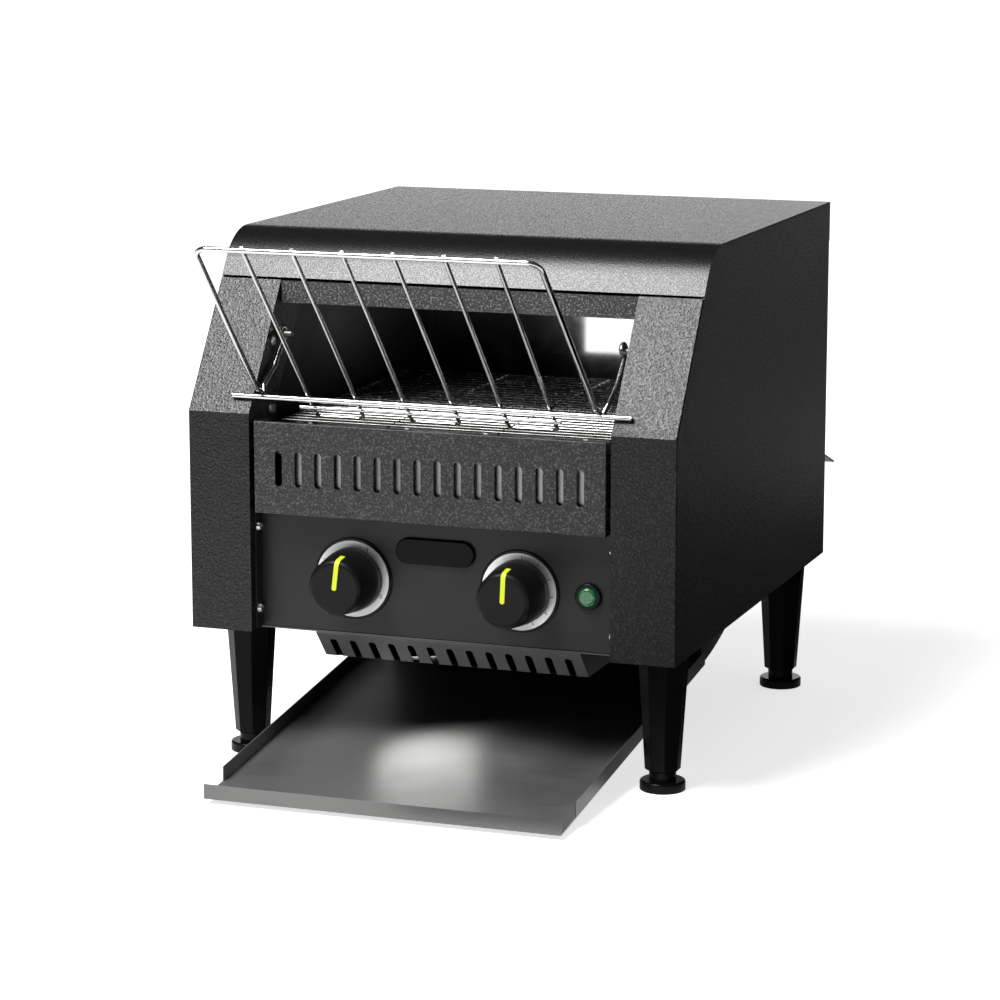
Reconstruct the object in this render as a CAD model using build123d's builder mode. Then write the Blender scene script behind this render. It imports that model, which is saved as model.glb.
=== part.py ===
"""Conveyor toaster: a wire belt carries bread under heating tubes, and a chute returns it to a tray.

Millimetres. +X is to the right seen from the front, +Y goes to the back and +Z is up. The origin
is the middle of the bounding box at the surface that the feet stand on. Depths in this file are
measured back from the columns' front face, and place() turns them into the part's frame.
"""
import os
from math import asin, atan2, cos, degrees, hypot, pi, radians, sin, sqrt, tan

from build123d import *

os.makedirs("parts", exist_ok=True)

# Body
width = 368.0
height = 387.0
depth = 412.0
base_z = 103.2
sheet = 1.2
column_width = 47.5
bend_z = 263.5
lip_y = 61.8
lip_drop = 32.4
lid_radius = 45.0
lid_back_gap = 0.2
lid_flange_drop = 31.0
lid_gap = 2.0
edge_radius = 1.0
return_depth = 48.0
sheet_gap = 0.1
floor_gap = 0.4
floor_overlap = 10.0
drop_clearance = 0.5
foot_flange = 22.0

# Front panels
panel_y = 18.0
panel_bottom_z = 104.8
panel_flange = 10.0
vent_side_gap = 4.0
vent_bottom_z = 191.5
vent_top_z = 258.5
vent_depth = 26.0
vent_top_depth = 4.0
slot_count = 16
slot_pitch = 15.2
slot_width = 5.5
slot_length = 26.0
slot_z = 225.0
first_slot_x = -113.8
vent_tab = 10.0
vent_tab_zs = (205.0, 242.0)
vent_tab_back = 6.0
liner_gap = 3.0
liner_sheet = 0.8
liner_z = (206.0, 244.0)
strip_lip_gaps = (1.5, 2.3)
strip_height = 15.8
strip_side_gap = 0.5
strip_shelf = 20.0
strip_step = 6.0

# Controls
dial_x = 63.5
dial_z = 144.8
bezel_diameter = 60.0
bezel_thickness = 1.5
ring_diameters = (56.0, 43.0)
ring_thickness = 0.8
bezel_bore = 14.0
bezel_edge = 0.5
knob_diameters = (46.0, 40.0)
knob_front_y = -19.0
knob_skirt = 7.0
knob_clearance = 0.5
spindle_diameter = 6.0
spindle_reach = 16.0
spindle_hole = 12.0
running_clearance = 0.05
pointer_width = 3.4
pointer_lift = 0.5
pointer_side = 11.0
pointer_inset = 1.5
knob_edge_radius = 4.0
heat_pointer_angle = 7.0
speed_pointer_angle = 2.5
lamp_inset = 21.5
lamp_bezel_diameter = 19.4
lamp_bezel_height = 3.0
lamp_bezel_edge = 1.2
lamp_barrel = (13.9, 24.0)
lamp_lens_diameter = 13.6
lamp_lens_height = 5.4
lamp_lens_edge = 2.4
badge_size = (60.0, 19.0)
badge_z = 168.3
badge_thickness = 3.0
badge_edge = 1.0
switch_size = 42.0
switch_depth = 28.0
switch_tab = (6.0, 8.0, 0.8)
switch_tab_x = 12.0
switch_tab_pitch = 14.0
pot_diameter = 34.0
pot_depth = 18.0
pot_foot = (24.0, 6.0, 12.0)
pot_foot_back = 4.0
pot_foot_drop = 14.0

# Under the body
pan_side_gaps = (43.0, 27.5)
pan_front_y = 18.0
pan_drop_y = 36.5
pan_bottom_z = 81.5
pan_chute_gap = 21.0
pan_slots = 13
pan_slot_width = 5.5
pan_slot_length = 22.0
pan_slot_drop = 3.8
pan_lip = 16.0
pan_tab_gap = 10.4
chute_side_gap = 7.0
chute_front_reach = 100.0
chute_bend_reach = 55.0
chute_turn_lead = 24.0
chute_radius = 330.0
chute_tab = 12.0
drop_back_gap = 40.0
drop_length = 66.0
tray_side_gap = 3.5
tray_front_y = -94.0
tray_back_gap = 1.0
tray_angle = 6.6
tray_front_z = 3.5
tray_sheet = 1.0
tray_lip = 10.7
tray_flange = 11.3
tray_flange_start = 32.0
runner_diameter = 5.0
runner_inset = 21.0
runner_front_y = 62.0
runner_back_drop = 1.9
runner_back_gap = 3.0

# Legs
leg_side_inset = 24.0
leg_front_y = 52.0
leg_back_inset = 38.0
leg_across = (34.5, 24.0)
leg_bottom_z = 14.5
leg_seat = 29.0
leg_seat_side = 23.0
leg_edge = 1.6
leg_end_edge = 1.0
neck_diameter = 19.5
pad_diameter = 33.0
pad_thickness = 7.5
pad_edges = (0.6, 1.6)
foot_thread = 12.0
foot_thread_reach = 24.0
stud_diameter = 8.0
stud_hole_gap = 0.4
stud_depth = 38.0
stud_top = 8.0
nut_radius = 7.5
nut_height = 6.5
part_gap = 0.3

# Feed rack
rack_wire = 3.0
rack_rod = 4.0
rack_tilt = 46.66
rack_length = 163.7
rack_side_gap = 9.2
rack_taper = 3.3
rack_corner = 9.0
rack_turn = 3.0
rack_top_bend = 10.0
rack_wire_pitch = 36.6
rack_wire_count = 6
rack_tip = -1.2
rack_tail = 24.0
rack_stop_rise = 13.8
rack_stop_half = 98.7
cross_rod_seat = 14.1
cross_rod_z = 275.5
rack_side_play = -3.0
cross_rod_offset = 2.4
hairpin_offset = 1.0
hairpin_radius = 4.0
hook_wall_gap = 6.0
hook_radius = 4.8
hook_start = -45.0
hook_sweep = 210.0
hook_stem = 27.0
frame_toe = (8.0, 5.0)
frame_heel = (6.0, 8.5)
frame_kink = ((8.0, 1.6), (1.0, 4.6))
frame_bend = 6.0
peg_y = 54.5
peg_rise = 0.5576
peg_diameter = 5.2
peg_length = 11.5
peg_edge = 0.6
peg_stem_diameter = 4.6

# Heating chamber and belt
chamber_front_setback = 10.0
chamber_tail = 12.0
chamber_foot = 12.0
chamber_top_drop = 37.0
shield_z = 212.0
shield_front_y = 28.0
belt_pitch = 10.5
belt_end_gap = 19.0
belt_wire = 1.8
belt_hook = 1.5
belt_side_gap = 10.5
belt_top_z = 255.5
belt_link_x = 42.0
front_shaft_y = 35.0
shaft_diameter = 8.0
shaft_tail = 6.0
sprocket_teeth = 8
sprocket_thickness = 3.0
sprocket_tooth = (2.6, 1.6)
sprocket_inset = 21.0
sprocket_middle_x = 30.0
bush_diameter = 14.0
bush_flange_diameter = 20.0
bush_flange = 2.0
bush_tail = 1.0
bush_press_gap = 0.1
heater_diameter = 8.0
heater_cap_diameter = 12.0
heater_cap_depth = 4.0
heater_cap_reach = 8.0
upper_heater_drop = 56.0
upper_heater_ys = (150.0, 210.0, 270.0)
lower_heater_ys = (95.0, 160.0, 225.0)

# Drive
chain_wall_gap = 11.1
chain_width = 5.0
chain_thickness = 4.0
drive_wheel_diameter = 44.0
wheel_hub_diameter = 16.0
wheel_hub_side = 3.0
wheel_hole_diameter = 7.0
wheel_hole_radius = 15.0
wheel_holes = 5
pinion_diameter = 22.0
pinion_stem = 4.0
motor_y = 225.0
motor_z = 160.0
motor_diameter = 56.0
motor_hole_gap = 6.0
motor_length = 46.0
gearbox_size = 64.0
gearbox_length = 18.0

# Back of the body
hood_side_gap = 1.0
hood_root_z = 183.0
hood_flange_top_z = 203.0
hood_reach = 35.0
hood_drop = 10.5
hood_lip = 0.4
louvre_rows = 6
louvre_pitch = 14.0
louvre_size = (110.0, 3.0)
louvre_x = 82.5
louvre_bottom_z = 240.0
gland_wall_gap = 16.5
gland_z = 136.0
gland_body = 15.8
gland_hole_gap = 0.2
gland_flange = (24.0, 3.0)
gland_reach = (6.0, 14.0)
cable_bore = 8.0
loom_diameter = 6.0
loom_front_y = 84.0
loom_back_inset = 20.0
loom_z = 128.0
loom_side_gap = 18.0
loom_bend = 14.0
loom_hole_gap = 4.0
block_x = (-118.0, -62.0)
block_insets = (28.0, 12.0)
block_height = 30.0
block_screws = 4
block_screw_pitch = 14.0
block_screw_diameter = 6.0
block_screw_depth = 8.0

# Fasteners
screw_head = 7.4
screw_head_height = 2.4
screw_head_taper = 20.0
recess_depth = 0.8
recess_size = (0.5, 0.13)
screw_shank = 4.0
screw_clearance = 0.1
screw_tail = 3.0
lid_screw_inset = 64.0
lid_screw_rise = 8.0
hood_screw_inset = 34.0
hood_screw_rise = 12.0
wall_screws = ((12.0, 179.4), (12.0, 118.9), (40.3, 261.3))
peg_screw_offset = (8.5, 3.8)
peg_screw_height = 0.6

# Worked out from the above
wall_x = width / 2 - column_width
return_outer_x = wall_x + sheet
chamber_outer_x = return_outer_x + sheet
lip_z = height - lip_drop
lid_flange_z = height - lid_flange_drop
chamber_top_z = height - chamber_top_drop
upper_heater_z = height - upper_heater_drop
strip_y = lip_y - strip_lip_gaps[0]
strip_z = (lip_z - strip_lip_gaps[1] - strip_height, lip_z - strip_lip_gaps[1])
slant = atan2(lip_z - bend_z, lip_y)
peg_z = bend_z + peg_rise * (lip_z - bend_z)
peg_screw = (peg_y - peg_screw_offset[0], peg_z - peg_screw_offset[1])
lamp_x = wall_x - lamp_inset
top_inside_z = height - sheet
vent_half_width = wall_x - vent_side_gap
strip_half_width = wall_x - strip_side_gap
chute_half_width = wall_x - chute_side_gap
tray_half_width = wall_x - tray_side_gap
runner_x = tray_half_width - runner_inset
pan_x = (pan_side_gaps[0] - wall_x, wall_x - pan_side_gaps[1])
pan_slot_pitch = (pan_x[1] - pan_x[0]) / (pan_slots + 0.5)
leg_x = width / 2 - leg_side_inset
leg_ys = (leg_front_y, depth - leg_back_inset)
hood_half_width = width / 2 - hood_side_gap
gland_x = gland_wall_gap - wall_x
lid_screw_xs = [index * (width / 2 - lid_screw_inset) for index in (-1, 0, 1)]
hood_screw_xs = [index * (width / 2 - hood_screw_inset) / 3 for index in (-3, -1, 1, 3)]
drop_y = (depth - drop_back_gap - drop_length, depth - drop_back_gap)
chamber_back_y = drop_y[1]
chute_front_y = drop_y[0] - chute_front_reach
chute_bend_y = drop_y[0] - chute_bend_reach
chute_turn_y = drop_y[0] + chute_turn_lead
tray_back_y = chute_bend_y - tray_back_gap
pan_back_y = chute_bend_y - pan_chute_gap
loom_ys = (loom_front_y, depth - loom_back_inset)
block_y = (depth - block_insets[0], depth - block_insets[1])
floor_z = base_z + sheet
floor_top_z = floor_z + sheet
ceiling_z = strip_z[0] + sheet
floor_front_y = return_depth + floor_gap
side_inside_x = width / 2 - sheet
screw_hole = screw_shank + 2 * screw_clearance

rack_down = (cos(radians(rack_tilt)), -sin(radians(rack_tilt)))
rack_up_normal = (sin(radians(rack_tilt)), cos(radians(rack_tilt)))
cross_rod_y = (cross_rod_z - bend_z) / tan(slant) - (rack_rod / 2 + part_gap) / sin(slant)
rack_top = (cross_rod_y - rack_length * rack_down[0], cross_rod_z - rack_length * rack_down[1])
rack_reach = rack_rod / 2 - rack_top[0]

rack_bottom_half = wall_x - rack_side_gap
rack_top_half = rack_bottom_half - rack_taper
cross_rod_half = wall_x + cross_rod_seat
hook_x = wall_x - hook_wall_gap

front_y = (rack_reach - depth - hood_reach) / 2

sprocket_radius = belt_pitch / 2 / sin(pi / sprocket_teeth)
shaft_z = belt_top_z - belt_wire / 2 - sprocket_radius
belt_spans = round((drop_y[0] - belt_end_gap - front_shaft_y) / belt_pitch)
rear_shaft_y = front_shaft_y + belt_spans * belt_pitch
belt_half_width = wall_x - belt_side_gap
belt_edge_x = belt_half_width - belt_wire / 2
belt_link_xs = (-belt_edge_x, -belt_link_x, belt_link_x, belt_edge_x)
sprocket_x = belt_half_width - sprocket_inset
sprocket_xs = (-sprocket_x, -sprocket_middle_x, sprocket_middle_x, sprocket_x)
chain_x = chamber_outer_x + chain_wall_gap


# Helpers
def place(x, y, z):
    """A point of the part's frame from its depth behind the columns' front face."""
    return Vector(x, front_y + y, z)


def block(x, y, z, mode=Mode.ADD):
    """A box between two bounds on each axis."""
    middle = place((x[0] + x[1]) / 2, (y[0] + y[1]) / 2, (z[0] + z[1]) / 2)
    with Locations(middle):
        Box(x[1] - x[0], y[1] - y[0], z[1] - z[0], mode=mode)


def side_plane(x):
    """A plane across X whose own x and y are the depth and the height."""
    return Plane(origin=place(x, 0, 0), x_dir=(0, 1, 0), z_dir=(1, 0, 0))


def front_plane(y):
    """A plane facing the front whose own x and y are X and the height."""
    return Plane(origin=place(0, y, 0), x_dir=(1, 0, 0), z_dir=(0, -1, 0))


def profile(points, x, mode=Mode.ADD):
    """A straight-edged side outline drawn out between two X bounds."""
    with BuildSketch(side_plane(x[0])) as outline:
        with BuildLine():
            Polyline(*points, close=True)
        make_face()
    extrude(outline.sketch, amount=x[1] - x[0], mode=mode)


def mirrored_profile(points, x, mode=Mode.ADD):
    """The same outline on the right and on the left."""
    profile(points, x, mode)
    profile(points, (-x[1], -x[0]), mode)


def cylinder(start, end, diameter, mode=Mode.ADD):
    """A round bar between two points given by depth."""
    first = place(*start)
    run = place(*end) - first
    with BuildSketch(Plane(origin=first, z_dir=run)) as section:
        Circle(diameter / 2)
    extrude(section.sketch, amount=run.length, mode=mode)


def bent_wire(path, diameter):
    """A round wire along a line made of straight runs and tangent arcs."""
    with BuildSketch(Plane(origin=path @ 0, z_dir=path % 0)) as section:
        Circle(diameter / 2)
    sweep(section.sketch, path=path)


def pan_screw(point, out, reach, head_height=screw_head_height):
    """A cross-recessed pan-head screw whose head stands out of a face at the given point."""
    face = Plane(origin=place(*point), z_dir=out)
    with BuildSketch(face) as head_outline:
        Circle(screw_head / 2)
    extrude(head_outline.sketch, amount=head_height, taper=screw_head_taper)
    length, breadth = (screw_head * share for share in recess_size)
    with BuildSketch(face.offset(head_height - recess_depth)) as recess:
        Rectangle(length, breadth)
        Rectangle(breadth, length)
    extrude(recess.sketch, amount=2 * recess_depth, mode=Mode.SUBTRACT)
    with BuildSketch(face) as shank_outline:
        Circle(screw_shank / 2)
    extrude(shank_outline.sketch, amount=-reach)


def screw_holes(points, x):
    """Clearance holes across X between two bounds."""
    for y, z in points:
        cylinder((x[0], y, z), (x[1], y, z), screw_hole, Mode.SUBTRACT)


def wall_holes(x):
    """The right wall's holes for its screws and for the rack's peg."""
    screw_holes(wall_screws + (peg_screw,), x)
    cylinder((x[0], peg_y, peg_z), (x[1], peg_y, peg_z),
             peg_stem_diameter + 2 * screw_clearance, Mode.SUBTRACT)


def finish(builder, name):
    """Label a finished piece and write it."""
    builder.part.label = name
    export_step(builder.part, f"parts/{name}.step")


# Side panels with their columns
seam_y = lip_y - lid_gap * cos(slant)
seam_z = lip_z - lid_gap * sin(slant)
inset_y = sheet / sin(slant)
arc_centre = (lip_y + (height - lid_radius - lip_z) / tan(slant) + lid_radius / sin(slant),
              height - lid_radius)


def lid_line(inset):
    """The lid's side line at a distance inside its outer face: lip, arc's start, middle and end."""
    radius = lid_radius - inset
    middle = (slant + pi) / 2
    lip = (lip_y + inset * sin(slant), lip_z - inset * cos(slant))
    start = (arc_centre[0] - radius * sin(slant), arc_centre[1] + radius * cos(slant))
    halfway = (arc_centre[0] + radius * cos(middle), arc_centre[1] + radius * sin(middle))
    end = (arc_centre[0], arc_centre[1] + radius)
    return lip, start, halfway, end


def side_panel(side):
    """A folded side panel: outer wall, column face, inner return and bottom flange."""
    lip, start, halfway, end = lid_line(sheet)
    with BuildPart() as panel:
        with BuildSketch(side_plane(side_inside_x)):
            with BuildLine():
                Polyline((seam_y, seam_z), (0, bend_z), (0, base_z), (depth - sheet, base_z),
                         (depth - sheet, end[1]), end)
                ThreePointArc(end, halfway, start)
                Polyline(start, (seam_y + inset_y, seam_z), (seam_y, seam_z))
            make_face()
        extrude(amount=sheet)
        column = (wall_x, side_inside_x)
        profile(((0, base_z), (0, bend_z), (seam_y, seam_z), (seam_y + inset_y, seam_z), (sheet, bend_z),
                 (sheet, base_z)), column)
        profile(((0, base_z), (0, bend_z), (seam_y, seam_z), (seam_y + return_depth, seam_z),
                 (return_depth, bend_z), (return_depth, base_z)), (wall_x, return_outer_x))
        block(column, (0, return_depth), (base_z, floor_z))
        block((side_inside_x - foot_flange, side_inside_x), (return_depth, depth - sheet), (base_z, floor_z))
        for y in ((return_depth, leg_ys[0] + leg_seat), (leg_ys[1] - leg_seat, depth - sheet)):
            block((leg_x - leg_seat_side, side_inside_x), y, (base_z, floor_z))
        outer_edges = panel.edges().filter_by(
            lambda e: abs(e.center().X - width / 2) < 0.01 and e.center().Y < front_y + seam_y
            and abs(e.tangent_at(0.5).Z) > 0.5)
        fillet(outer_edges, edge_radius)
        for y in leg_ys:
            cylinder((leg_x, y, base_z - 1), (leg_x, y, floor_z + 1),
                     stud_diameter + stud_hole_gap, Mode.SUBTRACT)
        wall_holes((wall_x - 1, return_outer_x + 1))
        cylinder((wall_x - 1, front_shaft_y, shaft_z), (return_outer_x + 1, front_shaft_y, shaft_z),
                 bush_diameter + 2, Mode.SUBTRACT)
    if side < 0:
        with BuildPart() as left:
            add(panel.part.mirror(Plane.YZ))
        return left
    return panel


finish(side_panel(1), "right_side_panel")
finish(side_panel(-1), "left_side_panel")

# Lid: a slanted lip, a round bend, a flat top and a flange over the back
lid_back_y = depth + lid_back_gap + sheet
lid_screw_sites = [(x, lid_flange_z + lid_screw_rise) for x in lid_screw_xs]
hood_screw_sites = [(x, hood_root_z + hood_screw_rise) for x in hood_screw_xs]
with BuildPart() as lid:
    outer_lip, outer_start, outer_halfway, outer_end = lid_line(0)
    inner_lip, inner_start, inner_halfway, inner_end = lid_line(sheet)
    with BuildSketch(side_plane(-width / 2)):
        with BuildLine():
            Line(outer_lip, outer_start)
            ThreePointArc(outer_start, outer_halfway, outer_end)
            Polyline(outer_end, (lid_back_y, height), (lid_back_y, lid_flange_z),
                     (lid_back_y - sheet, lid_flange_z), (lid_back_y - sheet, top_inside_z), inner_end)
            ThreePointArc(inner_end, inner_halfway, inner_start)
            Polyline(inner_start, inner_lip, outer_lip)
        make_face()
    extrude(amount=width)
    back_corner = lid.edges().filter_by(Axis.X).sort_by(lambda e: e.center().Y + e.center().Z)[-1]
    fillet(back_corner, edge_radius)
    for x, z in lid_screw_sites:
        cylinder((x, lid_back_y + 1, z), (x, depth - sheet, z), screw_hole, Mode.SUBTRACT)
finish(lid, "lid")

# Back panel with louvres, and the sloping hood that keeps it off a wall
with BuildPart() as back_panel:
    block((-width / 2, width / 2), (depth - sheet, depth), (base_z, top_inside_z))
    for row in range(louvre_rows):
        for side in (-1, 1):
            z = louvre_bottom_z + row * louvre_pitch
            with BuildSketch(front_plane(depth + 1)) as louvre:
                with Locations((side * louvre_x, z)):
                    SlotOverall(louvre_size[0], louvre_size[1])
            extrude(louvre.sketch, amount=sheet + 2, mode=Mode.SUBTRACT)
    for x, z in lid_screw_sites + hood_screw_sites:
        cylinder((x, depth + 1, z), (x, depth - sheet - 1, z), screw_hole, Mode.SUBTRACT)
    cylinder((gland_x, depth + 1, gland_z), (gland_x, depth - sheet - 1, gland_z),
             gland_body + gland_hole_gap, Mode.SUBTRACT)
finish(back_panel, "back_panel")

with BuildPart() as rear_hood:
    tip = (depth + hood_reach, hood_root_z - hood_drop)
    profile(((depth, hood_flange_top_z), (depth, hood_root_z), (tip[0] - hood_lip, tip[1] - sheet), tip,
             (depth + sheet, hood_root_z + sheet), (depth + sheet, hood_flange_top_z)),
            (-hood_half_width, hood_half_width))
    for x, z in hood_screw_sites:
        cylinder((x, depth + 2, z), (x, depth - 1, z), screw_hole, Mode.SUBTRACT)
finish(rear_hood, "rear_hood")

# Strip under the lid's lip, across the mouth
with BuildPart() as upper_strip:
    strip = (-strip_half_width, strip_half_width)
    block(strip, (strip_y, strip_y + sheet), strip_z)
    block(strip, (strip_y, strip_y + strip_shelf), (strip_z[0], ceiling_z))
    block((-wall_x, wall_x), (strip_y + strip_step, strip_y + strip_shelf), (strip_z[1] - sheet, strip_z[1]))
    block(strip, (strip_y, strip_y + strip_step + 1), (strip_z[1] - sheet, strip_z[1]))
finish(upper_strip, "upper_strip")

# Vent panel with its row of upright slots
slot_xs = [first_slot_x + index * slot_pitch for index in range(slot_count)]
with BuildPart() as vent_panel:
    face = (-vent_half_width, vent_half_width)
    block(face, (0, vent_depth), (vent_bottom_z, vent_top_z))
    block((face[0] + sheet, face[1] - sheet), (sheet, vent_depth + 1),
          (vent_bottom_z + sheet, vent_top_z - sheet), Mode.SUBTRACT)
    block(face, (vent_top_depth, vent_depth + 1), (vent_top_z - sheet, vent_top_z + 1), Mode.SUBTRACT)
    block(face, (panel_y, vent_depth + 1), (vent_bottom_z - 1, vent_bottom_z + sheet), Mode.SUBTRACT)
    fillet(vent_panel.faces().sort_by(Axis.Y)[0].edges().filter_by(Axis.X), edge_radius)
    for side in (-1, 1):
        for z in vent_tab_zs:
            ends = sorted((side * vent_half_width, side * wall_x))
            tab_back = vent_depth - vent_tab_back
            block(ends, (tab_back - vent_tab, tab_back), (z - vent_tab / 2, z + vent_tab / 2))
    with BuildSketch(front_plane(-1)) as slots:
        with Locations(*[(x, slot_z) for x in slot_xs]):
            SlotOverall(slot_length, slot_width, rotation=90)
    extrude(slots.sketch, amount=-(sheet + 2), mode=Mode.SUBTRACT)
finish(vent_panel, "vent_panel")

# Bare metal plate close behind the slots, all but the first
with BuildPart() as vent_liner:
    liner = (slot_xs[0] + slot_pitch / 2, slot_xs[-1] + slot_pitch / 2)
    block(liner, (sheet + liner_gap, sheet + liner_gap + liner_sheet), liner_z)
    block(liner, (sheet, sheet + liner_gap), (liner_z[0], liner_z[0] + liner_sheet))
finish(vent_liner, "vent_liner")

# Control panel, set back between the columns, with its side flanges turned forward
with BuildPart() as control_panel:
    block((-wall_x, wall_x), (panel_y, panel_y + sheet), (panel_bottom_z, vent_bottom_z + sheet))
    for side in (-1, 1):
        block(sorted((side * wall_x, side * (wall_x - sheet))), (panel_y - panel_flange, panel_y),
              (panel_bottom_z, vent_bottom_z - lid_gap))
        cylinder((side * dial_x, panel_y - 1, dial_z), (side * dial_x, panel_y + sheet + 1, dial_z),
                 spindle_hole, Mode.SUBTRACT)
    cylinder((lamp_x, panel_y - 1, dial_z), (lamp_x, panel_y + sheet + 1, dial_z),
             lamp_barrel[0] + screw_clearance, Mode.SUBTRACT)
    screw_holes(wall_screws[:2], (-wall_x - 1, wall_x + 1))
finish(control_panel, "control_panel")

# Chassis floor on the side panels' bottom flanges, with the opening that toast drops through
with BuildPart() as chassis_floor:
    block((-side_inside_x, side_inside_x), (floor_front_y, depth - sheet), (floor_z, floor_top_z))
    tongue = (-wall_x + sheet_gap, wall_x - sheet_gap)
    block(tongue, (panel_y - sheet / 2, return_depth + floor_overlap), (base_z, floor_z))
    block(tongue, (return_depth - sheet, return_depth + floor_overlap), (base_z, floor_top_z))
    drop_x = chute_half_width + drop_clearance
    block((-drop_x, drop_x), (drop_y[0] + 1, drop_y[1] + sheet + drop_clearance),
          (floor_z - 1, floor_top_z + 1), Mode.SUBTRACT)
    for x in (-leg_x, leg_x):
        for y in leg_ys:
            cylinder((x, y, floor_z - 1), (x, y, floor_top_z + 1),
                     stud_diameter + stud_hole_gap, Mode.SUBTRACT)
finish(chassis_floor, "chassis_floor")

# Slotted pan under the front of the floor
pan_middle = sum(pan_x) / 2
with BuildPart() as bottom_pan:
    top = base_z
    corner = (pan_drop_y, pan_bottom_z)
    run = hypot(pan_drop_y - pan_front_y, top - sheet - pan_bottom_z)
    lean = (sheet * (top - sheet - pan_bottom_z) / run, sheet * (pan_drop_y - pan_front_y) / run)
    profile(((pan_front_y, top - sheet), corner, (pan_back_y, pan_bottom_z),
             (pan_back_y, pan_bottom_z + sheet), (pan_drop_y + sheet / 2, pan_bottom_z + sheet),
             (pan_front_y + lean[0] + sheet / 2, top - sheet),
             (pan_front_y + pan_lip, top - sheet), (pan_front_y + pan_lip, top), (pan_front_y, top)), pan_x)
    for x in (pan_x[0], pan_x[1] - sheet):
        profile(((pan_front_y, top), (pan_front_y, top - sheet), corner, (pan_back_y, pan_bottom_z),
                 (pan_back_y, top)), (x, x + sheet))
        block((x, x + sheet), (return_depth + pan_tab_gap, pan_back_y), (top - sheet, floor_z))
    strip_middle = ((pan_front_y + pan_drop_y) / 2 + pan_slot_drop * (pan_drop_y - pan_front_y) / run,
                    (top - sheet + pan_bottom_z) / 2 - pan_slot_drop * (top - sheet - pan_bottom_z) / run)
    strip_out = Vector(0, -lean[0], -lean[1])
    strip_face = Plane(origin=place(pan_middle, *strip_middle), x_dir=(1, 0, 0), z_dir=strip_out)
    with BuildSketch(strip_face.offset(5 * sheet)) as pan_cuts:
        with GridLocations(pan_slot_pitch, 1, pan_slots, 1):
            SlotOverall(pan_slot_length, pan_slot_width, rotation=90)
    extrude(pan_cuts.sketch, amount=-10 * sheet, mode=Mode.SUBTRACT)
finish(bottom_pan, "bottom_pan")


# Return chute: a long shallow curve that turns up at the back, with two cheeks
slope = tan(radians(tray_angle))


def tray_z(y):
    """Height of the tray's underside at a depth."""
    return tray_front_z + (y - tray_front_y) * slope


def chute_z(y):
    """Height of the chute's underside where the tray lies on it."""
    return tray_z(y) - part_gap - sheet


chute_start_angle = radians(tray_angle)
chute_turn_angle = asin(sin(chute_start_angle) + (chute_turn_y - chute_bend_y) / chute_radius)
chute_turn_z = chute_z(chute_bend_y) + chute_radius * (cos(chute_start_angle) - cos(chute_turn_angle))
heel_radius = (drop_y[1] + sheet - chute_turn_y) / (1 - sin(chute_turn_angle))
chute_top_z = chute_turn_z + heel_radius * cos(chute_turn_angle)


def arc_point(centre, radius, angle):
    """A point under a centre, at a slope angle of the curve that it lies on."""
    return (centre[0] + radius * sin(angle), centre[1] - radius * cos(angle))


def chute_curve(inset):
    """The chute's side line at a distance inside its lower face, as points along two arcs."""
    long_centre = (chute_bend_y - chute_radius * sin(chute_start_angle),
                   chute_z(chute_bend_y) + chute_radius * cos(chute_start_angle))
    heel_centre = (drop_y[1] + sheet - heel_radius, chute_top_z)
    angles = (chute_start_angle, (chute_start_angle + chute_turn_angle) / 2, chute_turn_angle)
    heel_angles = ((chute_turn_angle + pi / 2) / 2, pi / 2)
    return ([arc_point(long_centre, chute_radius - inset, angle) for angle in angles]
            + [arc_point(heel_centre, heel_radius - inset, angle) for angle in heel_angles])


with BuildPart() as return_chute:
    low = chute_curve(0)
    high = chute_curve(sheet)
    front_z = chute_z(chute_front_y)
    profile(((chute_front_y, front_z), low[0], high[0], (chute_front_y, front_z + sheet)),
            (-chute_half_width, chute_half_width))
    with BuildSketch(side_plane(-chute_half_width)):
        with BuildLine():
            ThreePointArc(low[0], low[1], low[2])
            ThreePointArc(low[2], low[3], low[4])
            Line(low[4], high[4])
            ThreePointArc(high[4], high[3], high[2])
            ThreePointArc(high[2], high[1], high[0])
            Line(high[0], low[0])
        make_face()
    extrude(amount=2 * chute_half_width)
    for x in (-chute_half_width, chute_half_width - sheet):
        with BuildSketch(side_plane(x)) as cheek:
            with BuildLine():
                ThreePointArc(low[0], low[1], low[2])
                ThreePointArc(low[2], low[3], low[4])
                Polyline(low[4], (low[0][0], low[4][1]), low[0])
            make_face()
        extrude(cheek.sketch, amount=sheet)
    block((-width / 2, width / 2), (low[0][0] - 1, drop_y[1] + sheet + 1), (floor_z, height), Mode.SUBTRACT)
    with BuildSketch(side_plane(-chute_half_width)) as heel:
        with BuildLine():
            ThreePointArc(low[2], low[3], low[4])
            Line(low[4], high[4])
            ThreePointArc(high[4], high[3], high[2])
            Line(high[2], low[2])
        make_face()
    extrude(heel.sketch, amount=2 * chute_half_width)
    for side in (-1, 1):
        block(sorted((side * (chute_half_width - sheet_gap), side * (chute_half_width + chute_tab))),
              (low[0][0] + chute_side_gap, leg_ys[1] - leg_seat - 1), (base_z, floor_z))
finish(return_chute, "return_chute")

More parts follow.
